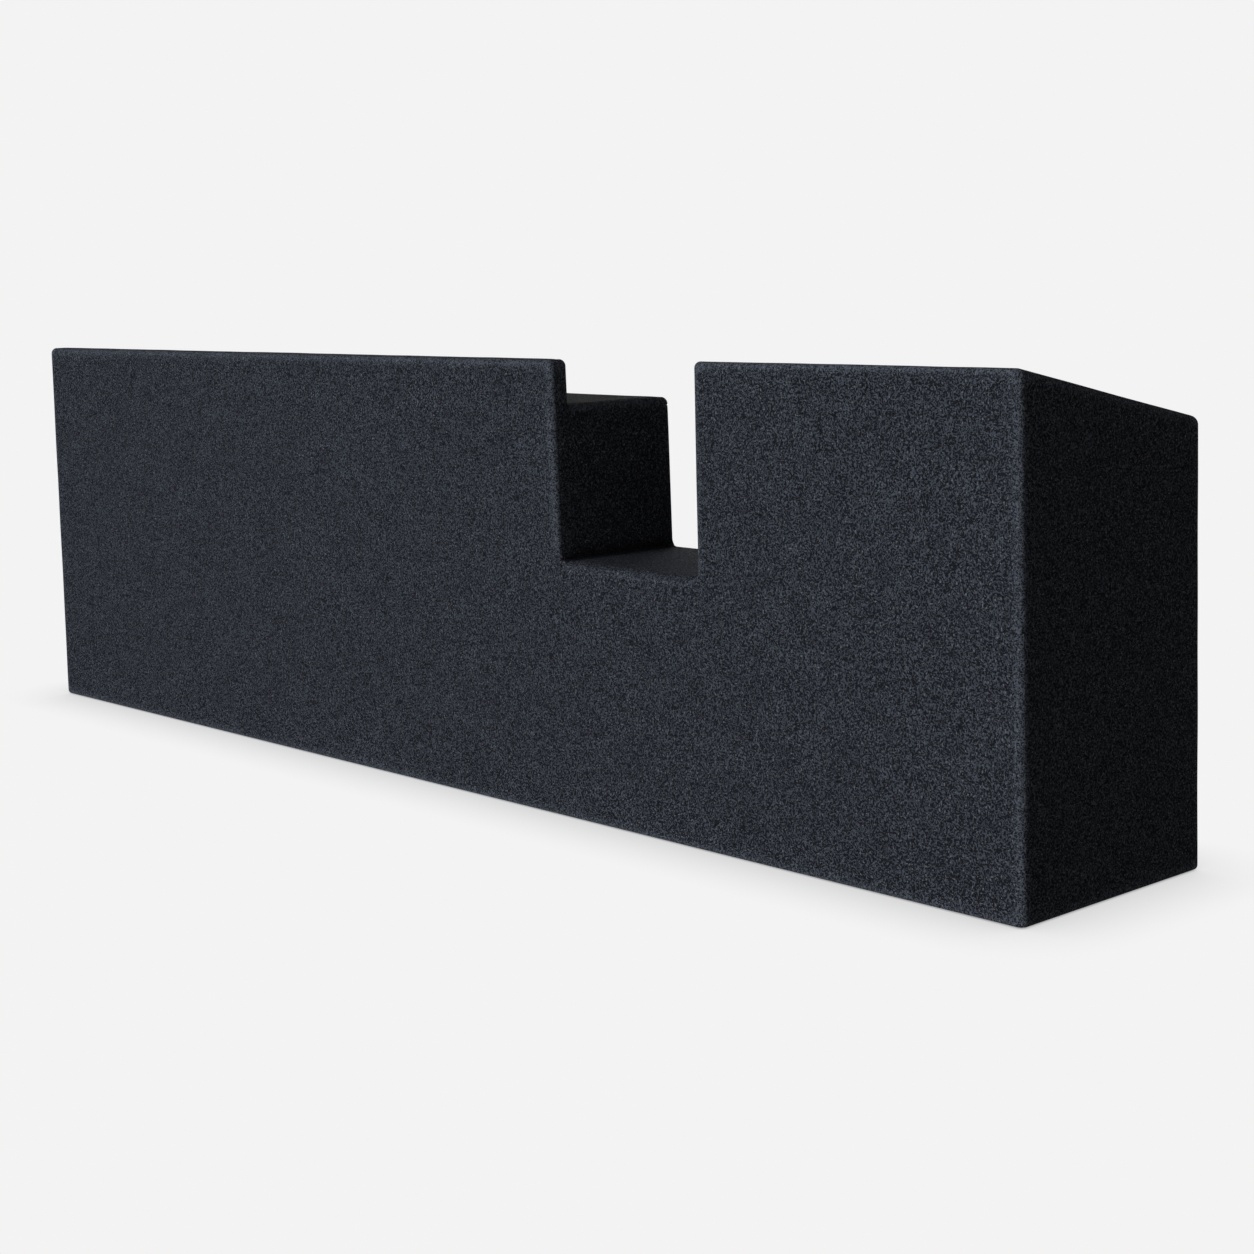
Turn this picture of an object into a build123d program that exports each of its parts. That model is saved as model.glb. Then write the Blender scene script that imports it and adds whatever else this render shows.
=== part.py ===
from build123d import *
import math
import os

# Felt-covered barrier block: a long, low box of screwed boards in two parts, a shallow left part
# and a deeper right part, with a U-shaped notch cut down from the top where they meet.
# Millimetres. +X runs along the length, to the right as seen from the front. The front faces -Y,
# +Z is up. The origin is on the floor, under the centre of the block's bounding box.

# Overall sizes, over the felt
LENGTH = 1725.0
HEIGHT = 501.9          # the right part's front top edge, before its edge is rounded off
RIGHT_DEPTH = 278.0     # front to back of the right part
LEFT_DEPTH = 176.0      # front to back of the left part and of the bridge under the notch
RIGHT_LENGTH = 410.5    # right end to the notch's right side

# The notch
NOTCH_WIDTH = 213.0     # at its floor
NOTCH_DEPTH = 220.9     # from the front top edge down to its floor
NOTCH_FLARE = 4.7       # how far its left side leans out by the time it reaches the top

# How far other edges lie below the right part's front top edge
LIP_DROP = 3.3          # top of the front lip along the left part
STEP_DROP = 52.9        # flat top behind that lip
BACK_DROP = 61.1        # back edge of the right part's sloping top

# Materials
BOARD = 19.0            # every board's thickness
FELT = 4.0              # needle-felt covering
EDGE_RADIUS = 8.0       # outer edges and the notch's inside corners, over the felt
BASE_RADIUS = 5.0       # edges along the floor, over the felt
FELT_TURN = 9.0         # the front felt turns this far round each edge it meets

# Frame
RIB_COUNT = 2           # ribs inside the left part

# Countersunk wood screws, 4 x 40
SCREW_LENGTH = 40.0
SHANK_RADIUS = 2.0
HEAD_RADIUS = 4.0
HEAD_DEPTH = 2.2
TIP_LENGTH = 5.0
SCREW_PITCH = 210.0     # largest distance between screws in a row
CORNER_MARGIN = 70.0    # a row of screws stops this far short of a corner

# Planes of the covered block
LEFT = -LENGTH / 2
RIGHT = LENGTH / 2
FRONT = -RIGHT_DEPTH / 2
BACK = RIGHT_DEPTH / 2
LEFT_BACK = FRONT + LEFT_DEPTH
NOTCH_RIGHT = RIGHT - RIGHT_LENGTH
NOTCH_LEFT = NOTCH_RIGHT - NOTCH_WIDTH
NOTCH_FLOOR = HEIGHT - NOTCH_DEPTH
LIP_TOP = HEIGHT - LIP_DROP
STEP_TOP = HEIGHT - STEP_DROP
LIP_BACK = FRONT + BOARD + 2 * FELT
LEAN = NOTCH_FLARE / NOTCH_DEPTH
SLOPE = BACK_DROP / RIGHT_DEPTH
EASED = EDGE_RADIUS - FELT              # radius on the bare boards' outer edges
BEYOND = 20.0                           # how far a cutting shape reaches past what it cuts

# Planes of the bare boards, one felt thickness further in
CORE_LEFT = LEFT + FELT
CORE_RIGHT = RIGHT - FELT
CORE_FRONT = FRONT + FELT
CORE_BACK = BACK - FELT
CORE_LEFT_BACK = LEFT_BACK - FELT
SIDE_FACE = NOTCH_RIGHT + FELT          # left face of the board on the notch's right side
FLOOR_FACE = NOTCH_FLOOR - FELT         # top of the notch's floor board
STEP_FACE = STEP_TOP - FELT             # top of the left part's top board
FRONT_INSIDE = CORE_FRONT + BOARD
BACK_INSIDE = CORE_BACK - BOARD
LEFT_BACK_INSIDE = CORE_LEFT_BACK - BOARD
BASE_INSIDE = FELT + BOARD


def block(x, y, z):
    """A box between the low and high value given for each axis."""
    size = [high - low for low, high in (x, y, z)]
    return Pos(x[0], y[0], z[0]) * Box(*size, align=(Align.MIN, Align.MIN, Align.MIN))


def prism_along_x(outline, x):
    """Extrude an outline of (y, z) points from the first x to the second."""
    plane = Plane(origin=(x[0], 0, 0), x_dir=(0, 1, 0), z_dir=(1, 0, 0))
    return extrude(plane * make_face(Polyline(*outline, close=True)), amount=x[1] - x[0])


def prism_along_y(outline, y):
    """Extrude an outline of (x, z) points from the first y to the second."""
    plane = Plane(origin=(0, y[0], 0), x_dir=(1, 0, 0), z_dir=(0, -1, 0))
    return extrude(plane * make_face(Polyline(*outline, close=True)), amount=y[0] - y[1])


# ---- The block as one shape, which the boards and the felt are then cut from ----

def notch_side(z, inset=0.0):
    """Where the notch's leaning left side is at height z, on a face set in by inset."""
    return NOTCH_LEFT - inset - LEAN * (z - NOTCH_FLOOR)


def slope_height(y, inset=0.0):
    """Height of the sloping top at depth y, on a face set in by inset."""
    return HEIGHT - SLOPE * (y - FRONT) - inset * math.hypot(1, SLOPE)


def notch_cutter(inset):
    """The notch as a solid that runs through the block from front to back."""
    floor = NOTCH_FLOOR - inset
    above = HEIGHT + BEYOND
    outline = [
        (notch_side(floor, inset), floor),
        (NOTCH_RIGHT + inset, floor),
        (NOTCH_RIGHT + inset, above),
        (notch_side(above, inset), above),
    ]
    return prism_along_y(outline, (FRONT - BEYOND, BACK + BEYOND))


def square_block(inset):
    """The whole block with sharp edges, every face set in by inset."""
    front = FRONT + inset
    left_outline = [
        (front, inset),
        (LEFT_BACK - inset, inset),
        (LEFT_BACK - inset, STEP_TOP - inset),
        (LIP_BACK - inset, STEP_TOP - inset),
        (LIP_BACK - inset, LIP_TOP - inset),
        (front, LIP_TOP - inset),
    ]
    right_outline = [
        (front, inset),
        (BACK - inset, inset),
        (BACK - inset, slope_height(BACK - inset, inset)),
        (front, slope_height(front, inset)),
    ]
    joint = NOTCH_RIGHT + inset
    left_part = prism_along_x(left_outline, (LEFT + inset, joint))
    right_part = prism_along_x(right_outline, (joint, RIGHT - inset))
    return left_part + right_part - notch_cutter(inset)


def lies_at(edge, height):
    """Whether a whole edge lies at one height."""
    return all(abs(edge.position_at(t).Z - height) < 0.01 for t in (0, 0.5, 1))


def covered_block():
    """The block over its felt: soft edges, and soft inside corners at the notch's floor."""
    shape = square_block(0)
    outer = [e for e in shape.edges() if not e.is_interior and not lies_at(e, 0)]
    notch_corners = [e for e in shape.edges() if e.is_interior and lies_at(e, NOTCH_FLOOR)]
    shape = fillet(outer + notch_corners, EDGE_RADIUS)
    return fillet([e for e in shape.edges() if lies_at(e, 0)], BASE_RADIUS)


def board_block():
    """The block of bare boards, with the outer edges eased for the felt to turn round."""
    shape = square_block(FELT)
    outer = [e for e in shape.edges() if not e.is_interior and not lies_at(e, FELT)]
    return fillet(outer, EASED)


CORE = board_block()


# ---- Boards: each is a plain board trimmed to the block's faces and eased edges ----

def board(x, y, z):
    return block(x, y, z) & CORE


def front_board():
    """One full-length board with the notch sawn out of its top edge."""
    return board((CORE_LEFT, CORE_RIGHT), (CORE_FRONT, FRONT_INSIDE), (FELT, HEIGHT))


def left_back_board():
    """The left part's back and the bridge's back in one board, with the notch sawn out."""
    return board((CORE_LEFT, SIDE_FACE), (LEFT_BACK_INSIDE, CORE_LEFT_BACK), (FELT, STEP_FACE))


def right_back_board():
    return board((SIDE_FACE, CORE_RIGHT), (BACK_INSIDE, CORE_BACK), (FELT, HEIGHT))


def left_top_board():
    """Flat top behind the lip, on top of the end board, the ribs and the notch's left board."""
    depth = (FRONT_INSIDE, LEFT_BACK_INSIDE)
    return board((CORE_LEFT, NOTCH_LEFT), depth, (STEP_FACE - BOARD, STEP_FACE))


def right_top_board():
    """Sloping top, between the front and back boards and on top of the two side boards."""
    outline = [
        (FRONT_INSIDE, slope_height(FRONT_INSIDE, FELT)),
        (BACK_INSIDE, slope_height(BACK_INSIDE, FELT)),
        (BACK_INSIDE, slope_height(BACK_INSIDE, FELT + BOARD)),
        (FRONT_INSIDE, slope_height(FRONT_INSIDE, FELT + BOARD)),
    ]
    return prism_along_x(outline, (SIDE_FACE, CORE_RIGHT)) & CORE


def under_slope(x):
    """A board across the right part, from the floor felt up to the sloping top board."""
    outline = [
        (FRONT_INSIDE, FELT),
        (BACK_INSIDE, FELT),
        (BACK_INSIDE, slope_height(BACK_INSIDE, FELT + BOARD)),
        (FRONT_INSIDE, slope_height(FRONT_INSIDE, FELT + BOARD)),
    ]
    return prism_along_x(outline, x) & CORE


def right_side_board():
    """Closes the right part's inner side, and is the notch's right side."""
    return under_slope((SIDE_FACE, SIDE_FACE + BOARD))


def right_end_board():
    return under_slope((CORE_RIGHT - BOARD, CORE_RIGHT))


def left_end_board():
    depth = (FRONT_INSIDE, LEFT_BACK_INSIDE)
    return board((CORE_LEFT, CORE_LEFT + BOARD), depth, (FELT, STEP_FACE - BOARD))


def left_base_board():
    width = (CORE_LEFT + BOARD, SIDE_FACE)
    return board(width, (FRONT_INSIDE, LEFT_BACK_INSIDE), (FELT, BASE_INSIDE))


def right_base_board():
    width = (SIDE_FACE + BOARD, CORE_RIGHT - BOARD)
    return board(width, (FRONT_INSIDE, BACK_INSIDE), (FELT, BASE_INSIDE))


def notch_left_board():
    """A straight board that leans with the notch's left side, from the base to the top board."""
    top = STEP_FACE - BOARD
    outline = [
        (notch_side(BASE_INSIDE, FELT + BOARD), BASE_INSIDE),
        (notch_side(BASE_INSIDE, FELT), BASE_INSIDE),
        (notch_side(top, FELT), top),
        (notch_side(top, FELT + BOARD), top),
    ]
    return prism_along_y(outline, (FRONT_INSIDE, LEFT_BACK_INSIDE))


def notch_floor_board():
    """The notch's floor, from its left board to its right one."""
    low = FLOOR_FACE - BOARD
    outline = [
        (notch_side(low, FELT), low),
        (SIDE_FACE, low),
        (SIDE_FACE, FLOOR_FACE),
        (notch_side(FLOOR_FACE, FELT), FLOOR_FACE),
    ]
    return prism_along_y(outline, (FRONT_INSIDE, LEFT_BACK_INSIDE))


def rib_centres():
    """Centres of the ribs, evenly spaced between the left end and the notch."""
    first = CORE_LEFT + BOARD / 2
    last = notch_side(BASE_INSIDE, FELT) - BOARD / 2
    step = (last - first) / (RIB_COUNT + 1)
    return [first + step * (i + 1) for i in range(RIB_COUNT)]


def rib(centre):
    width = (centre - BOARD / 2, centre + BOARD / 2)
    return block(width, (FRONT_INSIDE, LEFT_BACK_INSIDE), (BASE_INSIDE, STEP_FACE - BOARD))


# ---- Screws ----

def screw(head, direction):
    """A countersunk screw whose head is flush at one point and which is driven one way."""
    outline = [
        (0, 0),
        (HEAD_RADIUS, 0),
        (SHANK_RADIUS, HEAD_DEPTH),
        (SHANK_RADIUS, SCREW_LENGTH - TIP_LENGTH),
        (0, SCREW_LENGTH),
    ]
    turned = revolve(Plane.XZ * make_face(Polyline(*outline, close=True)), Axis.Z)
    return Plane(origin=head, z_dir=direction) * turned


def screw_row(first, last, direction):
    """Screws evenly spaced from one point to another, both included."""
    first, last = Vector(*first), Vector(*last)
    gaps = max(1, math.ceil((last - first).length / SCREW_PITCH))
    return [screw(first + (last - first) * (i / gaps), direction) for i in range(gaps + 1)]


BASE_LEVEL = FELT + BOARD / 2
STEP_LEVEL = STEP_FACE - BOARD / 2
FLOOR_LEVEL = FLOOR_FACE - BOARD / 2
INWARDS, OUTWARDS = (0, 1, 0), (0, -1, 0)
LEFTWARDS, RIGHTWARDS = (-1, 0, 0), (1, 0, 0)
DOWN, UP = (0, 0, -1), (0, 0, 1)


def left_uprights():
    """Centre of each upright in the left part, as a function of height."""
    fixed = [CORE_LEFT + BOARD / 2] + rib_centres()
    uprights = [lambda z, x=x: x for x in fixed]
    uprights.append(lambda z: notch_side(z, FELT + BOARD / 2))
    return uprights


def upright_row(centre, y, low, high, direction):
    """A row of screws up an upright, through the board in front of it or behind it."""
    return screw_row((centre(low), y, low), (centre(high), y, high), direction)


def long_face_screws(y, direction):
    """Screws through the front or back board of the left part and the bridge."""
    left = CORE_LEFT + CORNER_MARGIN
    notch = NOTCH_LEFT - CORNER_MARGIN
    side = SIDE_FACE - CORNER_MARGIN
    screws = screw_row((left, y, BASE_LEVEL), (side, y, BASE_LEVEL), direction)
    screws += screw_row((left, y, STEP_LEVEL), (notch, y, STEP_LEVEL), direction)
    floor_left = NOTCH_LEFT + CORNER_MARGIN
    screws += screw_row((floor_left, y, FLOOR_LEVEL), (side, y, FLOOR_LEVEL), direction)
    for centre in left_uprights():
        screws += upright_row(centre, y, CORNER_MARGIN, STEP_FACE - CORNER_MARGIN, direction)
    return screws


def right_face_screws(y, direction):
    """Screws through the front or back board into the right part's base and side boards."""
    left = SIDE_FACE + CORNER_MARGIN
    right = CORE_RIGHT - CORNER_MARGIN
    screws = screw_row((left, y, BASE_LEVEL), (right, y, BASE_LEVEL), direction)
    high = slope_height(y, FELT + BOARD) - CORNER_MARGIN
    for x in (SIDE_FACE + BOARD / 2, CORE_RIGHT - BOARD / 2):
        screws += upright_row(lambda z, x=x: x, y, CORNER_MARGIN, high, direction)
    return screws


def front_screws():
    return long_face_screws(CORE_FRONT, INWARDS) + right_face_screws(CORE_FRONT, INWARDS)


def left_back_screws():
    return long_face_screws(CORE_LEFT_BACK, OUTWARDS)


def right_back_screws():
    return right_face_screws(CORE_BACK, OUTWARDS)


def left_cross_rows(uprights, z, entry, direction):
    """Two screws, with their heads at z, into the end of each upright, which starts at entry."""
    inset = LEFT_DEPTH / 4
    screws = []
    for centre in uprights:
        x = centre(entry)
        screws += screw_row(
            (x, FRONT_INSIDE + inset, z), (x, LEFT_BACK_INSIDE - inset, z), direction
        )
    return screws


def left_top_screws():
    return left_cross_rows(left_uprights(), STEP_FACE, STEP_FACE, DOWN)


def base_screws():
    """Screws up through the base board into the ribs and the notch's left board."""
    return left_cross_rows(left_uprights()[1:], FELT, BASE_INSIDE, UP)


def right_top_screws():
    """Screws square to the sloping top, into the two side boards under it."""
    into_slope = (0, -SLOPE, -1)
    near, far = FRONT_INSIDE + CORNER_MARGIN / 2, BACK_INSIDE - CORNER_MARGIN / 2
    screws = []
    for x in (SIDE_FACE + BOARD / 2, CORE_RIGHT - BOARD / 2):
        screws += screw_row(
            (x, near, slope_height(near, FELT)), (x, far, slope_height(far, FELT)), into_slope
        )
    return screws


def end_screws():
    """Screws through the two end boards into the base boards."""
    inset = LEFT_DEPTH / 4
    screws = screw_row(
        (CORE_LEFT, FRONT_INSIDE + inset, BASE_LEVEL),
        (CORE_LEFT, LEFT_BACK_INSIDE - inset, BASE_LEVEL),
        RIGHTWARDS,
    )
    screws += screw_row(
        (CORE_RIGHT, FRONT_INSIDE + inset, BASE_LEVEL),
        (CORE_RIGHT, BACK_INSIDE - inset, BASE_LEVEL),
        LEFTWARDS,
    )
    return screws


def joining_screws():
    """Screws from inside the right part, through its inner side board, into the left part."""
    face = SIDE_FACE + BOARD
    inset = LEFT_DEPTH / 4
    screws = []
    for level in (BASE_LEVEL, FLOOR_LEVEL):
        screws += screw_row(
            (face, FRONT_INSIDE + inset, level), (face, LEFT_BACK_INSIDE - inset, level), LEFTWARDS
        )
    middle = CORE_LEFT_BACK - BOARD / 2
    screws += screw_row(
        (face, middle, CORNER_MARGIN), (face, middle, FLOOR_FACE - CORNER_MARGIN), LEFTWARDS
    )
    return screws


SCREW_GROUPS = {
    "front_screws": front_screws(),
    "left_back_screws": left_back_screws(),
    "right_back_screws": right_back_screws(),
    "left_top_screws": left_top_screws(),
    "right_top_screws": right_top_screws(),
    "base_screws": base_screws(),
    "end_screws": end_screws(),
    "joining_screws": joining_screws(),
}


def drilled(shape):
    """Cut each screw that reaches a board out of that board."""
    box = shape.bounding_box()
    for group in SCREW_GROUPS.values():
        hits = [s for s in group if box.overlaps(s.bounding_box())]
        if hits:
            shape = shape - hits
    return shape


# ---- Felt: the layer between the bare boards and the soft outer shape, cut at its seams ----

def everything(x=(LEFT, RIGHT), y=(FRONT, BACK), z=(0, HEIGHT)):
    """A region of space, which reaches past the block on each side that isn't given."""
    whole = ((LEFT, RIGHT), (FRONT, BACK), (0, HEIGHT))
    spans = []
    for (low, high), (block_low, block_high) in zip((x, y, z), whole):
        low = low - BEYOND if low == block_low else low
        high = high + BEYOND if high == block_high else high
        spans.append((low, high))
    return block(*spans)


def footprint(x):
    """The space under the boards, as deep as the felt, over part of the length."""
    left = block((CORE_LEFT, SIDE_FACE), (CORE_FRONT, CORE_LEFT_BACK), (-BEYOND, FELT))
    right = block((SIDE_FACE, CORE_RIGHT), (CORE_FRONT, CORE_BACK), (-BEYOND, FELT))
    return (left + right) & everything(x=x)


def above_slope():
    """Everything over the bare sloping top and its eased edges."""
    outline = [
        (FRONT - BEYOND, slope_height(FRONT - BEYOND, FELT + EASED)),
        (BACK + BEYOND, slope_height(BACK + BEYOND, FELT + EASED)),
        (BACK + BEYOND, HEIGHT + BEYOND),
        (FRONT - BEYOND, HEIGHT + BEYOND),
    ]
    return prism_along_x(outline, (NOTCH_RIGHT, RIGHT + BEYOND))


def felt_regions():
    """Each felt piece's share of the layer. A piece takes what the ones before it leave."""
    front = everything(y=(FRONT, FRONT + FELT_TURN))
    right_end = everything(x=(RIGHT - FELT_TURN, RIGHT))
    inside_notch = everything(x=(LEFT, NOTCH_RIGHT), y=(FRONT, CORE_LEFT_BACK - EASED))
    return {
        "left_base_felt": footprint((LEFT, SIDE_FACE)),
        "right_base_felt": footprint((SIDE_FACE, RIGHT)),
        "front_felt": front + right_end,
        "left_end_felt": everything(x=(LEFT, CORE_LEFT + EASED)),
        "slope_felt": above_slope(),
        "right_back_felt": everything(y=(CORE_BACK - EASED, BACK)),
        "right_side_felt": everything(x=(NOTCH_RIGHT, RIGHT)),
        "notch_felt": notch_cutter(FELT + EASED) & inside_notch,
        "step_felt": everything(z=(STEP_TOP - FELT_TURN, HEIGHT)),
        "left_back_felt": everything(),
    }


def felt_pieces():
    layer = covered_block() - CORE
    pieces = {}
    for name, region in felt_regions().items():
        pieces[name] = layer & region
        layer = layer - region
    return pieces


# ---- Write one file for each piece ----

def board_pieces():
    pieces = {
        "front_board": front_board(),
        "left_back_board": left_back_board(),
        "right_back_board": right_back_board(),
        "left_top_board": left_top_board(),
        "right_top_board": right_top_board(),
        "left_end_board": left_end_board(),
        "right_end_board": right_end_board(),
        "right_side_board": right_side_board(),
        "left_base_board": left_base_board(),
        "right_base_board": right_base_board(),
        "notch_left_board": notch_left_board(),
        "notch_floor_board": notch_floor_board(),
    }
    for number, centre in enumerate(rib_centres(), start=1):
        pieces[f"left_rib_{number}"] = rib(centre)
    return {name: drilled(shape) for name, shape in pieces.items()}


def main():
    os.makedirs("parts", exist_ok=True)
    pieces = board_pieces()
    pieces.update({name: Compound(children=group) for name, group in SCREW_GROUPS.items()})
    pieces.update(felt_pieces())
    for name, shape in pieces.items():
        export_step(shape, f"parts/{name}.step")


main()
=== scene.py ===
import math

import bpy
import numpy as np
from mathutils import Matrix, Vector


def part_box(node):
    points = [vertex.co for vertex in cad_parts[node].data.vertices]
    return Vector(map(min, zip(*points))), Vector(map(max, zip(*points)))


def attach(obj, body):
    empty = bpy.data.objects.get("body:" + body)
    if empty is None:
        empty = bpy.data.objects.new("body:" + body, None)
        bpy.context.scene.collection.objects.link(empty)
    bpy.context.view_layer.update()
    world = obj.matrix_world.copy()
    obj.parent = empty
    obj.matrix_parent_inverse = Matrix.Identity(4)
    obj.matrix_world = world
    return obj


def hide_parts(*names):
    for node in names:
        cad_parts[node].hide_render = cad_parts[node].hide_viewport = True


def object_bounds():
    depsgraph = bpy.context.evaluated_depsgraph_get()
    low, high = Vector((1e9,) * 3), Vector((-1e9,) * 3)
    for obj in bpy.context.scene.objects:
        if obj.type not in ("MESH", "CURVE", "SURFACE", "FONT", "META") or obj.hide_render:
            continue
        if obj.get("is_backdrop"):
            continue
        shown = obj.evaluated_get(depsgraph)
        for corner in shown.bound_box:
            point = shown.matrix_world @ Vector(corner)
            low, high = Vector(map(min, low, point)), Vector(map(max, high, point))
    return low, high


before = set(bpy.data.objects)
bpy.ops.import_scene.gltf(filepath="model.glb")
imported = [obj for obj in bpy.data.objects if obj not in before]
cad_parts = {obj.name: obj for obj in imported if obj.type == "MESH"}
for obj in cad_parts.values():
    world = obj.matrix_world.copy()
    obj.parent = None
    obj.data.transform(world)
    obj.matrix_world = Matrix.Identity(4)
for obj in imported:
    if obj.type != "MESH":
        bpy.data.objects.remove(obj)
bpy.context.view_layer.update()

# Looks of a felt-covered barrier block: needle felt stretched over a block of screwed boards.
# Metres, in the frame's own axes: the front faces -Y and +Z is up.

# Felt
EDGE_RADIUS = 0.008         # outer edges and the notch's inside corners
BASE_RADIUS = 0.005         # edges along the floor
TURN = 0.009                # the front felt turns this far round each edge it meets
SEAM_STEP = 0.0014          # mesh line on each side of a seam
SEAM_CLEAR = 0.7 * SEAM_STEP    # other mesh lines stay this far from a seam
LINES_APART = 0.4 * SEAM_STEP   # and this far from each other
SEAM_DEPTH = 0.0007         # how deep a seam's groove is
SEAM_SHOULDER = 0.22 * SEAM_DEPTH   # and one mesh line away from it
SEAM_GAP = 0.00022          # half the gap between two pieces of felt
GRID = 0.008                # mesh size on the flat faces
WAVE = 0.00022              # how far the stretched felt is off flat
WAVE_COUNT = 9              # waves added together
WAVE_LENGTHS = (0.05, 0.35)  # shortest and longest
SOFT_FRONT = 0.018          # how far back the notch's floor starts to roll over its front edge
SOFT_DROP = 0.0038          # and how far it has rolled down there
NOTCH_FADE = 0.02           # shapes fade out over this distance from the notch's sides
TUCK_DEPTH = 0.0016         # the felt pressed into the notch's bottom corners
TUCK_WIDTH = 0.0017
PUCKER_HEIGHT = 0.0017      # folds in the front felt at the notch's bottom left corner
PUCKER_REACH = 0.013
PUCKER_FOLDS = 5
PUCKER_TURN = 0.8           # which way they point, in radians
SETTLED = 0.03              # unevenness fades out over this height above the floor
EDGE_REACH = 0.013          # how near an outer edge the felt gets fuzz and a painted highlight, or an inside corner painted shade
LEVEL_STEPS = 6             # steps to bring a point onto the felt's surface
LEAST_SQUARE = 0.2          # slope's square is taken as at least this, where surfaces meet
TINY = 1e-6                 # step of a numerical slope
SEED = 7

# Camera
CAMERA_TURN = -47.7173      # degrees left of +Y
CAMERA_TILT = 5.9764        # degrees down
CAMERA_ROLL = -1.4109
CAMERA_LENS = 65.448        # on a 36 mm sensor
CAMERA_SHIFT = -0.10128
CAMERA_RIGHT = 1.2328       # from the block's right end
CAMERA_FRONT = 1.5849       # from its front face
CAMERA_UP = 0.60135

# Light: radiance of the backdrop, as the camera sees it, and of the dim room
BACKDROP = 0.896
ROOM = (0.0580, 0.0550, 0.0500)
FLOOR_SIZE = 30
FLOOR_GAP = 0.0004                  # the floor lies this far under the block
FLOOR_SHADE = (0.25, 0.25, 0.26)    # painted shade on the floor right against the block
FLOOR_REACH = 0.10                  # how far from the block the painted shade reaches
FLOOR_FADE = 0.55

# Felt colours
MAT_DARK = (0.0045, 0.0051, 0.0065)
MAT_LIGHT = (0.0280, 0.0317, 0.0404)
FIBRE = (0.104, 0.118, 0.150)
FLECK = (0.26, 0.28, 0.31)
# fuzz and painted highlight along the outer edges
FUZZ_AND_HIGHLIGHT = (0.170, 0.193, 0.243)
# painted shade in the inside corners
PAINTED_CORNER_SHADE = (0.006, 0.0065, 0.008)

# Fibreboard colours
BOARD_DARK = (0.36, 0.25, 0.155)
BOARD_LIGHT = (0.55, 0.42, 0.28)
BOARD_STRAND = (0.42, 0.29, 0.18)
BOARD_CLOUD = (0.50, 0.38, 0.25)
BOARD_SPECK = (0.16, 0.10, 0.06)

# Screw colours
ZINC = (0.66, 0.62, 0.50)
TARNISH = (0.52, 0.44, 0.30)


# ---- Sizes, read from the frame ----

def low(node):
    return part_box(node)[0]


def high(node):
    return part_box(node)[1]


class Sizes:
    """The covered block's planes, worked out from the boards under the felt."""

    def __init__(self):
        block_low, block_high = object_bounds()
        self.left, self.right = block_low.x, block_high.x
        self.front, self.back = block_low.y, block_high.y
        self.felt = low("front_board").y - self.front
        self.board = high("front_board").y - low("front_board").y
        self.lip_back = self.front + self.board + 2 * self.felt
        self.left_back = high("left_back_board").y + self.felt
        self.step_top = high("left_top_board").z + self.felt
        self.lip_top = high("step_felt").z
        self.notch_floor = high("notch_floor_board").z + self.felt
        self.notch_right = low("right_side_board").x - self.felt
        leaning_low, leaning_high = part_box("notch_left_board")
        rise = leaning_high.z - leaning_low.z
        self.lean = (leaning_high.x - leaning_low.x - self.board) / rise
        foot = self.lean * (leaning_low.z - self.notch_floor)
        self.notch_left = leaning_high.x + self.felt + foot
        top_low, top_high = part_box("right_top_board")
        fall = high("right_end_board").z - top_low.z
        self.slope = fall / (top_high.y - top_low.y)
        self.steep = math.hypot(1, self.slope)
        self.top = top_high.z + self.slope * (top_low.y - self.front) + self.felt * self.steep
        self.notch_middle = (self.notch_left + self.notch_right) / 2

    def sloping_top(self, y):
        return self.top - self.slope * (y - self.front)


S = Sizes()


# ---- The felt's outer surface, as a distance from it: below zero inside the block ----

def within(value, start, end):
    """Distance outside a slab between two planes."""
    return np.maximum(start - value, value - end)


def rounded_both(a, b, radius=EDGE_RADIUS):
    """The space that is inside both a and b, with the edge between them rounded."""
    corner = np.hypot(np.maximum(radius + a, 0), np.maximum(radius + b, 0))
    return np.minimum(-radius, np.maximum(a, b)) + corner


def notch_distance(x, z):
    """The notch, with rounded bottom corners."""
    leaning = S.notch_left - S.lean * (z - S.notch_floor) - x
    sides = np.maximum(leaning, x - S.notch_right)
    return rounded_both(sides, S.notch_floor - z)


def surface_distance(points):
    x, y, z = points.T
    under_slope = (z - S.sloping_top(y)) / S.steep
    shallow_depth = within(y, S.front, S.left_back)
    lip = rounded_both(within(y, S.front, S.lip_back), z - S.lip_top)
    shelf = rounded_both(shallow_depth, z - S.step_top)
    bridge = rounded_both(shallow_depth, under_slope)
    profile = np.where(x < S.notch_middle, np.minimum(lip, shelf), bridge)
    length = np.maximum(within(x, S.left, S.right), -notch_distance(x, z))
    shallow = rounded_both(length, profile)
    deep_profile = rounded_both(within(y, S.front, S.back), under_slope)
    deep = rounded_both(within(x, S.notch_right, S.right), deep_profile)
    return rounded_both(np.minimum(shallow, deep), -z, BASE_RADIUS)


def surface_slope(points):
    slope = np.empty_like(points)
    for axis in range(3):
        step = np.zeros(3)
        step[axis] = TINY
        rise = surface_distance(points + step) - surface_distance(points - step)
        slope[:, axis] = rise / (2 * TINY)
    return slope


def brought_to(points, level):
    """Points moved straight onto the surface that lies at one distance from the felt's face."""
    for _ in range(LEVEL_STEPS):
        slope = surface_slope(points)
        square = np.maximum((slope ** 2).sum(1), LEAST_SQUARE)
        points = points - slope * ((surface_distance(points) - level) / square)[:, None]
    return points


# ---- One lattice over the whole block ----

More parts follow.
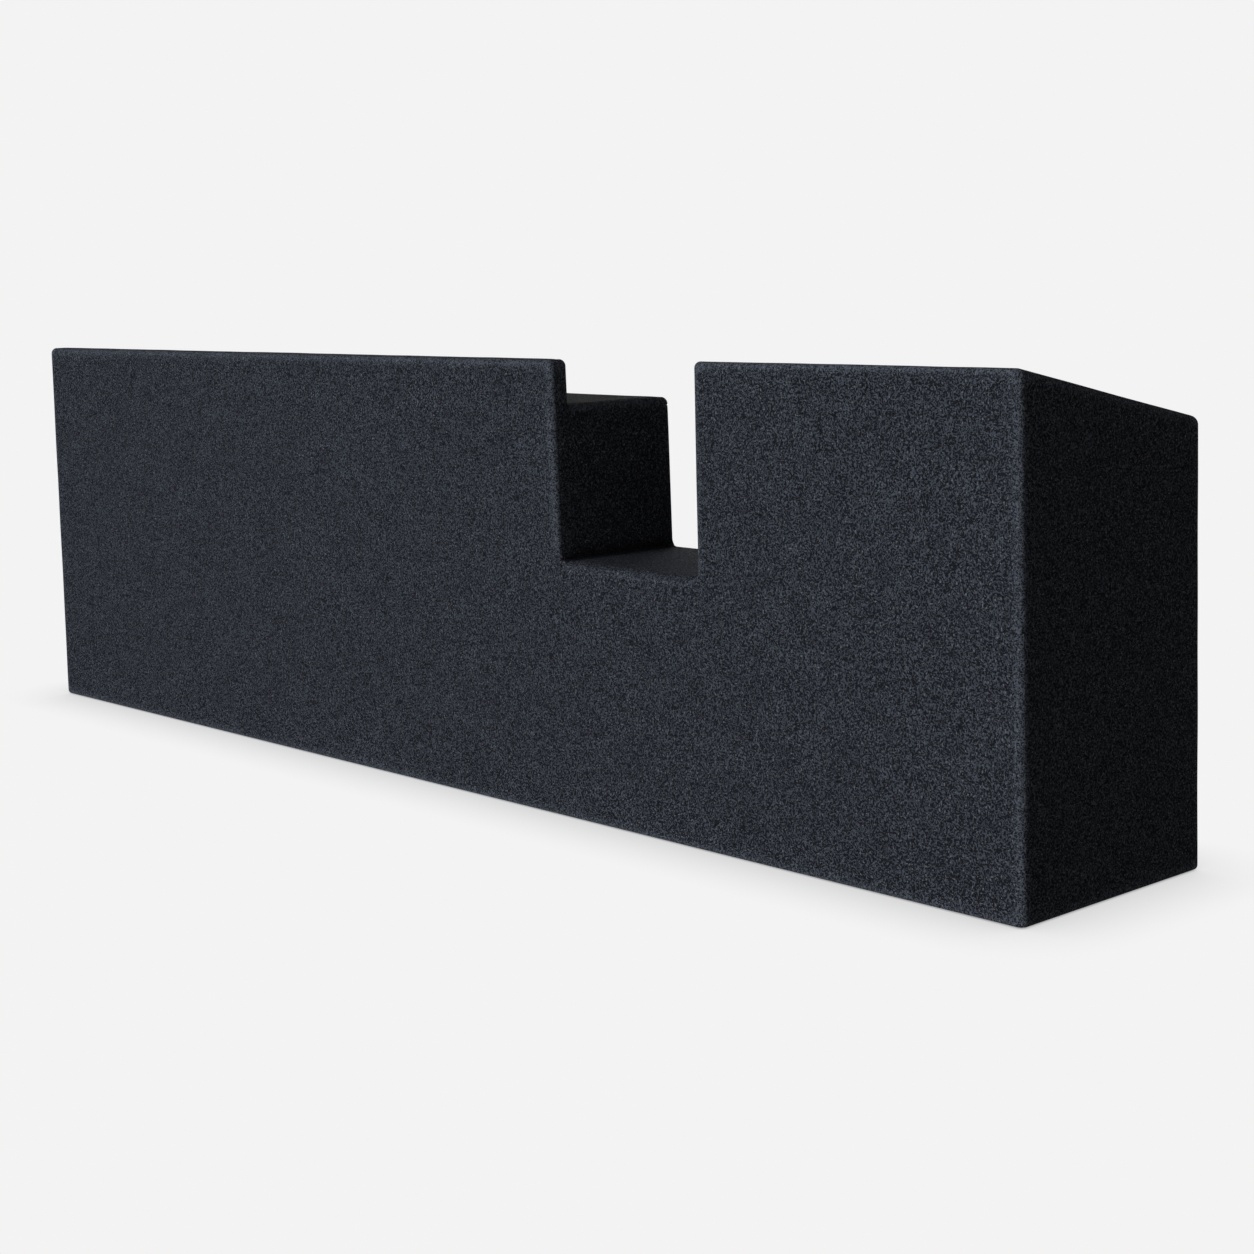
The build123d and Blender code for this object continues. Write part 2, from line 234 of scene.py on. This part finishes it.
def mesh_lines(planes, seams):
    """Mesh lines along one axis: close together at each edge and seam, and even between."""
    arc = [EDGE_RADIUS * (1 - math.tan(math.radians(turn))) for turn in (9, 18, 27, 36)]
    around_edge = [0.0, *arc, EDGE_RADIUS]
    lines = set()
    for plane in planes:
        lines.update(plane + side * away for away in around_edge for side in (-1, 1))
    near = sorted(line for line in lines if planes[0] <= line <= planes[-1])
    for seam in seams:
        near = [line for line in near if abs(line - seam) > SEAM_CLEAR or line in planes]
        near += [seam - SEAM_STEP, seam, seam + SEAM_STEP]
    near.sort()
    kept = [near[0]]
    for line in near[1:]:
        fixed = line in planes or line in seams
        if line - kept[-1] > LINES_APART:
            kept.append(line)
        elif fixed:
            kept[-1] = line
    full = []
    for start, end in zip(kept, kept[1:]):
        count = max(1, math.ceil((end - start) / GRID - 0.01))
        full += [start + (end - start) * i / count for i in range(count)]
    return np.array(full + [kept[-1]])


def filled(x, y, z):
    """Whether the square-edged block fills a point. Here the lip is as high as the right part."""
    across_notch = (S.notch_left < x) & (x < S.notch_right)
    left = (x < S.notch_left) & (y < S.left_back) & ((z < S.step_top) | (y < S.lip_back))
    bridge = across_notch & (y < S.left_back) & (z < S.notch_floor)
    return left | bridge | (x > S.notch_right)


def lattice_faces(lines):
    """Each square of the lattice that has the block on one side only, with its corners in order."""
    middles = [(line[1:] + line[:-1]) / 2 for line in lines]
    solid = filled(*np.meshgrid(*middles, indexing="ij"))
    padded = np.pad(solid, 1)
    faces = []
    for axis in range(3):
        u, v = (axis + 1) % 3, (axis + 2) % 3
        step = np.diff(padded.astype(np.int8), axis=axis)
        inner = [slice(1, -1)] * 3
        inner[axis] = slice(None)
        step = step[tuple(inner)]
        for sign in (1, -1):
            cells = np.argwhere(step == -sign)
            ring = [(0, 0), (1, 0), (1, 1), (0, 1)][::sign]
            corners = np.repeat(cells[:, None, :], 4, axis=1)
            for place, (du, dv) in enumerate(ring):
                corners[:, place, u] += du
                corners[:, place, v] += dv
            faces.append(corners)
    return np.concatenate(faces)


def lattice():
    """The lattice's points, on the square-edged block and on the felt, and its faces."""
    seam_x = [S.left + EDGE_RADIUS, S.right - TURN, S.notch_right + EDGE_RADIUS]
    seam_y = [S.front + TURN, S.left_back - EDGE_RADIUS, S.back - EDGE_RADIUS]
    seam_z = [S.felt, S.step_top - TURN, S.top - EDGE_RADIUS]
    lines = [
        mesh_lines([S.left, S.notch_left, S.notch_right, S.right], seam_x),
        mesh_lines([S.front, S.lip_back, S.left_back, S.back], seam_y),
        mesh_lines([0.0, S.notch_floor, S.step_top, S.top], seam_z),
    ]
    corners = lattice_faces(lines)
    flat = corners.reshape(-1, 3)
    used, faces = np.unique(flat, axis=0, return_inverse=True)
    square = np.stack([line[used[:, axis]] for axis, line in enumerate(lines)], axis=1)
    return square, faces.reshape(-1, 4)


def leaned(square):
    """The square-edged points moved to the leaning side, the sloping top and the lower lip."""
    x, y, z = square.T
    height = np.maximum(z - S.notch_floor, 0)
    share = np.clip((x - S.left) / (S.notch_left - S.left), 0, 1)
    share = np.where(x > S.notch_left, np.clip((S.notch_right - x) / NOTCH_FADE, 0, 1), share)
    lean = np.where(x < S.notch_right, -S.lean * height * share, 0)
    lip_share = np.maximum(z - S.step_top, 0) / (S.top - S.step_top)
    lowered = -(S.top - S.lip_top) * lip_share
    rise = height / (S.top - S.notch_floor)
    sloped = (S.sloping_top(y) - S.top) * rise
    drop = np.where(x < S.notch_middle, lowered, sloped)
    return np.stack([x + lean, y, z + drop], axis=1)


# ---- Which piece of felt each face belongs to ----

FELTS = [
    "left_base_felt", "right_base_felt", "front_felt", "left_end_felt", "slope_felt",
    "right_back_felt", "right_side_felt", "notch_felt", "step_felt", "left_back_felt",
]


def piece_of(square, faces):
    """Number of each face's felt. As on the bench, a piece takes what the ones before it leave."""
    x, y, z = square[faces].mean(axis=1).T
    at_floor = z < TINY
    inside_front = y > S.front + S.felt
    left_foot = (x > S.left + S.felt) & (x < S.notch_right + S.felt) & (y < S.left_back - S.felt)
    right_foot = (x > S.notch_right + S.felt) & (x < S.right - S.felt) & (y < S.back - S.felt)
    in_notch = (x < S.notch_right) & (x > S.notch_left - EDGE_RADIUS)
    tests = [
        at_floor & inside_front & left_foot,
        at_floor & inside_front & right_foot,
        (y < S.front + TURN) | (x > S.right - TURN),
        x < S.left + EDGE_RADIUS,
        (x > S.notch_right) & (z > S.top - EDGE_RADIUS),
        y > S.back - EDGE_RADIUS,
        x > S.notch_right - TINY,
        in_notch & (z > S.notch_floor - EDGE_RADIUS) & (y < S.left_back - EDGE_RADIUS),
        z > S.step_top - TURN,
        np.ones(len(x), bool),
    ]
    return np.argmax(np.stack(tests), axis=0)


# ---- How near a point is to an outer edge or an inside corner ----

def sharpness(points, normals):
    """From 0 on a flat face to 1 in the middle of an outer edge, or -1 in an inside corner."""
    least = np.abs(normals).argmin(axis=1)
    across = np.cross(normals, np.eye(3)[least])
    across /= np.linalg.norm(across, axis=1)[:, None]
    along = np.cross(normals, across)
    total = np.zeros(len(points))
    for way in (across, -across, along, -along):
        total += surface_distance(points + EDGE_REACH * way)
    return total / (EDGE_REACH * math.sqrt(2))


# ---- Unevenness of the stretched felt ----

def waves(points):
    """A smooth random height from -1 to 1, made of long and short waves across the block."""
    rng = np.random.default_rng(SEED)
    total = np.zeros(len(points))
    for _ in range(WAVE_COUNT):
        direction = rng.normal(size=3)
        direction /= np.linalg.norm(direction)
        length = rng.uniform(*WAVE_LENGTHS)
        total += np.sin(points @ direction * math.tau / length + rng.uniform(0, math.tau))
    return total / WAVE_COUNT ** 0.5 / 1.5


def soft_floor(square):
    """How far the notch's floor has rolled down towards its front edge."""
    x, y, z = square.T
    reach = np.clip(1 - (y - S.front) / SOFT_FRONT, 0, 1)
    from_left = np.clip((x - S.notch_left) / NOTCH_FADE, 0, 1)
    middle = from_left * np.clip((S.notch_right - x) / NOTCH_FADE, 0, 1)
    on_floor = np.clip(1 - (S.notch_floor - z) / SETTLED, 0, 1) * (z < S.notch_floor + TINY)
    return SOFT_DROP * reach ** 2 * np.sin(middle * math.pi / 2) * on_floor


def pucker(points):
    """Small folds where the front felt is pulled round the notch's bottom left corner."""
    away = points - np.array([S.notch_left, S.front, S.notch_floor])
    distance = np.linalg.norm(away, axis=1)
    turn = np.arctan2(away[:, 2], away[:, 0])
    folds = np.sin(PUCKER_FOLDS * turn + PUCKER_TURN)
    return PUCKER_HEIGHT * np.exp(-(distance / PUCKER_REACH) ** 2) * folds


def tuck(points):
    """How far the felt is pressed into the notch's bottom corners."""
    x, y, z = points.T
    up = z - S.notch_floor
    near = np.minimum(abs(x - S.notch_left - up), abs(S.notch_right - x - up))
    low_down = (up < EDGE_RADIUS) & (up > 0) & (x > S.notch_left) & (x < S.notch_right)
    open_ended = np.clip((y - S.front - TURN) / TURN, 0, 1)
    return TUCK_DEPTH * np.exp(-(near / TUCK_WIDTH) ** 2) * low_down * open_ended


# ---- Meshes ----

def make_object(name, points, faces):
    mesh = bpy.data.meshes.new(name)
    mesh.from_pydata(points.tolist(), [], faces.tolist())
    mesh.validate()
    mesh.update()
    mesh.polygons.foreach_set("use_smooth", np.ones(len(mesh.polygons), bool))
    obj = bpy.data.objects.new(name, mesh)
    bpy.context.scene.collection.objects.link(obj)
    return obj


def open_edges(faces):
    """Edges with a face on one side only, each in that face's own direction."""
    edges = np.concatenate([faces[:, [i, (i + 1) % 4]] for i in range(4)])
    one_way = {tuple(edge) for edge in edges.tolist()}
    return np.array([edge for edge in edges.tolist() if (edge[1], edge[0]) not in one_way])


def pulled_in(points, faces, edges):
    """Each point on a cut edge moved a little towards its piece's own middle."""
    on_edge = np.zeros(len(points), bool)
    on_edge[edges.ravel()] = True
    total = np.zeros_like(points)
    count = np.zeros(len(points))
    for i in range(4):
        for j in ((i + 1) % 4, (i + 3) % 4):
            a, b = faces[:, i], faces[:, j]
            wanted = on_edge[a] & ~on_edge[b]
            np.add.at(total, a[wanted], points[b[wanted]] - points[a[wanted]])
            np.add.at(count, a[wanted], 1)
    moved = count > 0
    way = total[moved] / np.linalg.norm(total[moved], axis=1)[:, None]
    shift = np.zeros_like(points)
    shift[moved] = way * SEAM_GAP
    return shift, on_edge


def set_share(obj, name, values):
    """Keep one number for each point, for the material to read."""
    obj.data.attributes.new(name, "FLOAT", "POINT").data.foreach_set("value", values)


def felt_object(name, outer, inner, heights, normals, faces):
    """A closed piece of felt: its outer face, its face on the boards, and the cut edge between."""
    used, local = np.unique(faces, return_inverse=True)
    local = local.reshape(-1, 4)
    outer, inner = outer[used], inner[used]
    heights, normals = heights[used], normals[used]
    edges = open_edges(local)
    shift, on_edge = pulled_in(outer, local, edges)
    beside = np.zeros(len(outer), bool)
    touching = on_edge[local].any(axis=1)
    beside[local[touching].ravel()] = True
    beside &= ~on_edge
    depth = np.where(on_edge, SEAM_DEPTH, np.where(beside, SEAM_SHOULDER, 0))
    face = outer + normals * (heights - depth)[:, None] + shift
    count = len(used)
    rim = np.stack([edges[:, 1], edges[:, 0], edges[:, 0] + count, edges[:, 1] + count], axis=1)
    all_faces = np.concatenate([local, local[:, ::-1] + count, rim])
    obj = make_object(name, np.concatenate([face, inner + shift]), all_faces)
    # outer_edge carries the fuzz and painted highlight into the material, inside_corner the painted
    # shade
    bend = sharpness(outer, normals)
    outer_edge, inside_corner = np.clip(bend, 0, 1), np.clip(-bend, 0, 1)
    set_share(obj, "outer_edge", np.concatenate([outer_edge, outer_edge]))
    set_share(obj, "inside_corner", np.concatenate([inside_corner, inside_corner]))
    return obj


def felt_pieces():
    square, faces = lattice()
    outer = brought_to(leaned(square), 0.0)
    slope = surface_slope(outer)
    normals = slope / np.linalg.norm(slope, axis=1)[:, None]
    inner = brought_to(outer - normals * S.felt, -S.felt)
    off_floor = np.clip(outer[:, 2] / SETTLED, 0, 1)
    heights = WAVE * waves(outer) * off_floor + pucker(outer) - tuck(outer)
    softened = outer.copy()
    softened[:, 2] -= soft_floor(square)
    numbers = piece_of(square, faces)
    pieces = {}
    for number, name in enumerate(FELTS):
        mine = faces[numbers == number]
        pieces[name] = felt_object(name + "_cloth", softened, inner, heights, normals, mine)
    return pieces


# ---- Materials ----

class Nodes:
    """Short ways to add nodes to one material."""

    def __init__(self, name):
        self.material = bpy.data.materials.new(name)
        self.material.use_nodes = True
        self.tree = self.material.node_tree
        self.shader = self.tree.nodes["Principled BSDF"]
        self.place = self.tree.nodes.new("ShaderNodeTexCoord").outputs["Object"]

    def add(self, kind, **values):
        node = self.tree.nodes.new(kind)
        for key, value in values.items():
            setattr(node, key, value)
        return node

    def join(self, source, socket):
        self.tree.links.new(source, socket)

    def put(self, socket, value):
        if isinstance(value, bpy.types.NodeSocket):
            self.join(value, socket)
        else:
            socket.default_value = value

    def math(self, operation, *values):
        node = self.add("ShaderNodeMath", operation=operation)
        for socket, value in zip(node.inputs, values):
            self.put(socket, value)
        return node.outputs[0]

    def noise(self, scale, detail=2.0, rough=0.5, distortion=0.0, shift=0.0, stretch=None):
        place = self.place
        if shift or stretch:
            mapping = self.add("ShaderNodeMapping")
            self.join(place, mapping.inputs["Vector"])
            mapping.inputs["Location"].default_value = (shift, shift * 0.7, -shift)
            mapping.inputs["Scale"].default_value = stretch or (1, 1, 1)
            place = mapping.outputs[0]
        node = self.add("ShaderNodeTexNoise")
        self.join(place, node.inputs["Vector"])
        node.inputs["Scale"].default_value = scale
        node.inputs["Detail"].default_value = detail
        node.inputs["Roughness"].default_value = rough
        node.inputs["Distortion"].default_value = distortion
        return node.outputs["Fac"]

    def spread(self, value, low_in, high_in, low_out=0.0, high_out=1.0):
        node = self.add("ShaderNodeMapRange")
        for socket, number in zip(node.inputs, (value, low_in, high_in, low_out, high_out)):
            self.put(socket, number)
        return node.outputs[0]

    def mix(self, factor, first, second):
        node = self.add("ShaderNodeMix", data_type="RGBA")
        self.put(node.inputs[0], factor)
        for socket, colour in ((node.inputs[6], first), (node.inputs[7], second)):
            if isinstance(colour, bpy.types.NodeSocket):
                self.join(colour, socket)
            else:
                socket.default_value = (*colour, 1)
        return node.outputs[2]

    def bump(self, height, distance, strength):
        node = self.add("ShaderNodeBump")
        node.inputs["Strength"].default_value = strength
        node.inputs["Distance"].default_value = distance
        self.join(height, node.inputs["Height"])
        self.join(node.outputs[0], self.shader.inputs["Normal"])


def curly_fibres(nodes, scale, turns, width, shift):
    """Nested curling lines, where a noise passes through evenly spaced values, in short lengths."""
    noise = nodes.noise(scale, detail=0.0, distortion=0.35, shift=shift)
    wave = nodes.math("SINE", nodes.math("MULTIPLY", noise, math.tau * turns))
    line = nodes.spread(wave, 1 - width, 1.0 - 0.3 * width)
    breaks = nodes.spread(nodes.noise(600, detail=0.0, shift=shift + 2.3), 0.36, 0.52)
    return nodes.math("MULTIPLY", line, breaks)


def share(nodes, name):
    node = nodes.add("ShaderNodeAttribute", attribute_name=name)
    return node.outputs["Fac"]


def felt_material():
    """Needle felt: pale curly fibres over a dark mat, with flecks, fuzz and a painted highlight
    along the outer edges, and painted shade in the inside corners.
    """
    nodes = Nodes("charcoal_felt")
    near_edge = nodes.spread(share(nodes, "outer_edge"), 0.20, 0.85)
    corner_shade = nodes.spread(share(nodes, "inside_corner"), 0.05, 0.60)
    fibres = nodes.math(
        "MAXIMUM", curly_fibres(nodes, 180, 4.0, 0.8, 1.7), curly_fibres(nodes, 235, 3.2, 0.6, 4.1)
    )
    matted = nodes.noise(900, detail=1.0, rough=0.6)
    clouds = nodes.spread(nodes.noise(38, detail=3.0, rough=0.6, shift=3.0), 0.35, 0.65)
    flecks = nodes.spread(nodes.noise(480, detail=0.0, shift=9.3), 0.70, 0.77)
    mat = nodes.spread(matted, 0.35, 0.65)
    dark = nodes.mix(mat, MAT_DARK, MAT_LIGHT)
    lit = nodes.math("MULTIPLY", fibres, nodes.spread(clouds, 0, 1, 0.80, 1.0))
    colour = nodes.mix(lit, dark, FIBRE)
    colour = nodes.mix(nodes.math("MULTIPLY", flecks, 0.8), colour, FLECK)
    raised = nodes.math("MAXIMUM", fibres, nodes.spread(matted, 0.50, 0.62))
    # Fuzz and painted highlight: near outer edges the colour is mixed towards a much lighter one
    fuzz_and_highlight = nodes.math("MULTIPLY", near_edge, nodes.spread(raised, 0.0, 1.0, 0.05, 0.80))
    colour = nodes.mix(fuzz_and_highlight, colour, FUZZ_AND_HIGHLIGHT)
    # Painted shade: inside corners darkened towards a near-black colour
    colour = nodes.mix(nodes.math("MULTIPLY", corner_shade, 0.7), colour, PAINTED_CORNER_SHADE)
    nodes.join(colour, nodes.shader.inputs["Base Color"])
    rough = nodes.spread(matted, 0.3, 0.7, 0.88, 1.0)
    nodes.join(rough, nodes.shader.inputs["Roughness"])
    nodes.shader.inputs["Specular IOR Level"].default_value = 0.04
    nodes.shader.inputs["Sheen Weight"].default_value = 0.03
    nodes.shader.inputs["Sheen Roughness"].default_value = 0.45
    nodes.shader.inputs["Sheen Tint"].default_value = (0.75, 0.82, 1.0, 1)
    height = nodes.math(
        "ADD", nodes.math("MULTIPLY", fibres, 0.8), nodes.math("MULTIPLY", mat, 0.4)
    )
    nodes.bump(height, 0.0007, 0.9)
    return nodes.material


def board_material():
    """Raw fibreboard: tan, with fine fibres, darker specks and broad cloudy patches."""
    nodes = Nodes("raw_fibreboard")
    fine = nodes.noise(900, detail=4.0, rough=0.7)
    strands = nodes.noise(140, detail=3.0, rough=0.6, stretch=(1, 1, 0.3), shift=2.0)
    clouds = nodes.noise(9, detail=4.0, rough=0.55, shift=5.0)
    colour = nodes.mix(fine, BOARD_DARK, BOARD_LIGHT)
    colour = nodes.mix(nodes.spread(strands, 0.4, 0.75, 0, 0.5), colour, BOARD_STRAND)
    colour = nodes.mix(nodes.spread(clouds, 0.35, 0.7, 0, 0.35), colour, BOARD_CLOUD)
    specks = nodes.spread(nodes.noise(620, detail=0.0, shift=8.0), 0.70, 0.76)
    colour = nodes.mix(nodes.math("MULTIPLY", specks, 0.7), colour, BOARD_SPECK)
    nodes.join(colour, nodes.shader.inputs["Base Color"])
    nodes.join(nodes.spread(fine, 0.3, 0.7, 0.62, 0.85), nodes.shader.inputs["Roughness"])
    nodes.shader.inputs["Specular IOR Level"].default_value = 0.3
    nodes.bump(fine, 0.0002, 0.5)
    return nodes.material


def screw_material():
    """Yellow-passivated zinc plating, with fine brushing and faint tarnish."""
    nodes = Nodes("zinc_plated_screw")
    brushed = nodes.noise(1500, detail=2.0, stretch=(1, 1, 8))
    tarnish = nodes.spread(nodes.noise(160, detail=3.0, shift=6.0), 0.45, 0.7)
    colour = nodes.mix(tarnish, ZINC, TARNISH)
    nodes.join(colour, nodes.shader.inputs["Base Color"])
    nodes.join(nodes.spread(brushed, 0.3, 0.7, 0.24, 0.42), nodes.shader.inputs["Roughness"])
    nodes.shader.inputs["Metallic"].default_value = 1.0
    nodes.bump(brushed, 0.00005, 0.4)
    return nodes.material


def give(obj, material):
    obj.data.materials.clear()
    obj.data.materials.append(material)


# ---- Felt cut sizes ----

def cut_sizes():
    """Each piece's flat size, its flat area where it isn't a rectangle, and its boards."""
    length, height = S.right - S.left, S.top
    depth, shallow = S.back - S.front, S.left_back - S.front
    notch_width, notch_height = S.notch_right - S.notch_left, S.top - S.notch_floor
    back_height = S.sloping_top(S.back)
    right_length = S.right - S.notch_right
    left_length = S.notch_left - S.left
    front_flat = (length + depth + TURN, height + 2 * TURN)
    front_area = front_flat[0] * front_flat[1] - notch_width * notch_height
    front_area -= depth * (height - back_height) / 2
    side_area = depth * (height + back_height) / 2 - shallow * S.notch_floor
    step_depth = S.left_back - S.front + S.lip_top - S.step_top
    back_area = left_length * S.step_top + notch_width * S.notch_floor
    shelf_height = S.step_top - S.notch_floor
    cheek_area = (shallow - TURN) * (notch_width + shelf_height)
    cheek_area += (S.lip_back - S.front) * (S.lip_top - S.step_top)
    base = "left_base_board", "right_base_board"
    return {
        "left_base_felt": ((S.notch_right - S.left, shallow), None, base[:1]),
        "right_base_felt": ((right_length, depth), None, base[1:]),
        "front_felt": (front_flat, front_area, ("front_board", "right_end_board")),
        "left_end_felt": ((shallow, S.lip_top), None, ("left_end_board",)),
        "slope_felt": ((right_length, depth * S.steep), None, ("right_top_board",)),
        "right_back_felt": ((right_length, back_height), None, ("right_back_board",)),
        "right_side_felt": ((depth, height), side_area, ("right_side_board",)),
        "notch_felt": (
            (shallow, notch_width + S.lip_top - S.notch_floor), cheek_area,
            ("notch_left_board", "notch_floor_board"),
        ),
        "step_felt": ((left_length, step_depth), None, ("left_top_board", "front_board")),
        "left_back_felt": (
            (S.notch_right - S.left, S.step_top), back_area, ("left_back_board",),
        ),
    }


# ---- Camera, light and floor ----

def make_camera():
    turn, tilt = math.radians(CAMERA_TURN), math.radians(CAMERA_TILT)
    roll = math.radians(CAMERA_ROLL)
    forward = Vector((
        math.sin(turn) * math.cos(tilt), math.cos(turn) * math.cos(tilt), -math.sin(tilt),
    ))
    level = Vector((math.cos(turn), -math.sin(turn), 0))
    upright = level.cross(forward)
    right = level * math.cos(roll) + upright * math.sin(roll)
    up = upright * math.cos(roll) - level * math.sin(roll)
    data = bpy.data.cameras.new("camera")
    data.sensor_width = 36
    data.lens = CAMERA_LENS
    data.shift_y = CAMERA_SHIFT
    data.clip_end = 100
    camera = bpy.data.objects.new("camera", data)
    axes = Matrix((right, up, -forward)).transposed().to_4x4()
    place = Vector((S.right + CAMERA_RIGHT, S.front - CAMERA_FRONT, CAMERA_UP))
    camera.matrix_world = Matrix.Translation(place) @ axes
    bpy.context.scene.collection.objects.link(camera)
    bpy.context.scene.camera = camera


def make_sun(name, towards, strength, angle, colour):
    """A broad, distant light. towards is the way it shines, and angle its width in degrees."""
    data = bpy.data.lights.new(name, "SUN")
    data.energy = strength
    data.angle = math.radians(angle)
    data.color = colour
    light = bpy.data.objects.new(name, data)
    light.rotation_mode = "QUATERNION"
    light.rotation_quaternion = Vector(towards).to_track_quat("-Z", "Y")
    bpy.context.scene.collection.objects.link(light)


def make_world():
    """A bright backdrop to look at, and a dim room to light by."""
    world = bpy.data.worlds.new("studio")
    world.use_nodes = True
    bpy.context.scene.world = world
    tree = world.node_tree
    background = tree.nodes["Background"]
    path = tree.nodes.new("ShaderNodeLightPath")
    mix = tree.nodes.new("ShaderNodeMix")
    mix.data_type = "RGBA"
    mix.inputs[6].default_value = (*ROOM, 1)
    mix.inputs[7].default_value = (BACKDROP, BACKDROP, BACKDROP, 1)
    tree.links.new(path.outputs["Is Camera Ray"], mix.inputs[0])
    tree.links.new(mix.outputs[2], background.inputs["Color"])


def make_floor():
    """A pale floor that glows evenly, darkened by painted shade only close to where the block
    stands on it.
    """
    bpy.ops.mesh.primitive_plane_add(size=FLOOR_SIZE, location=(0, 0, -FLOOR_GAP))
    floor = bpy.context.object
    floor.name = "floor"
    nodes = Nodes("pale_floor")
    contact = nodes.add("ShaderNodeAmbientOcclusion", samples=16)
    contact.inputs["Distance"].default_value = FLOOR_REACH
    open_air = nodes.math("POWER", contact.outputs["AO"], FLOOR_FADE)
    glow = nodes.add("ShaderNodeEmission")
    colour = nodes.mix(open_air, FLOOR_SHADE, (BACKDROP, BACKDROP, BACKDROP))
    nodes.join(colour, glow.inputs["Color"])
    nodes.join(glow.outputs[0], nodes.tree.nodes["Material Output"].inputs["Surface"])
    give(floor, nodes.material)
    floor.visible_diffuse = False
    floor.visible_glossy = False
    floor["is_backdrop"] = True


# ---- Make everything ----

def dress_felt():
    felt = felt_material()
    sizes = cut_sizes()
    for name, cloth in felt_pieces().items():
        give(cloth, felt)
        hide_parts(name)
        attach(cloth, "root")


def dress_boards():
    board, screw = board_material(), screw_material()
    for name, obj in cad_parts.items():
        if name.endswith("_screws"):
            give(obj, screw)
        elif not name.endswith("_felt"):
            give(obj, board)


bpy.context.scene.view_settings.view_transform = "Standard"
make_camera()
make_world()
make_floor()
make_sun("key", (0.20, 1.0, -0.14), 2.02, 25, (0.99, 1.0, 1.02))
make_sun("fill", (-0.80, 0.55, -0.13), 0.30, 60, (1.0, 0.985, 0.95))
make_sun("behind", (0.90, -1.0, -0.05), 1.35, 40, (1.01, 1.0, 0.98))
dress_boards()
dress_felt()
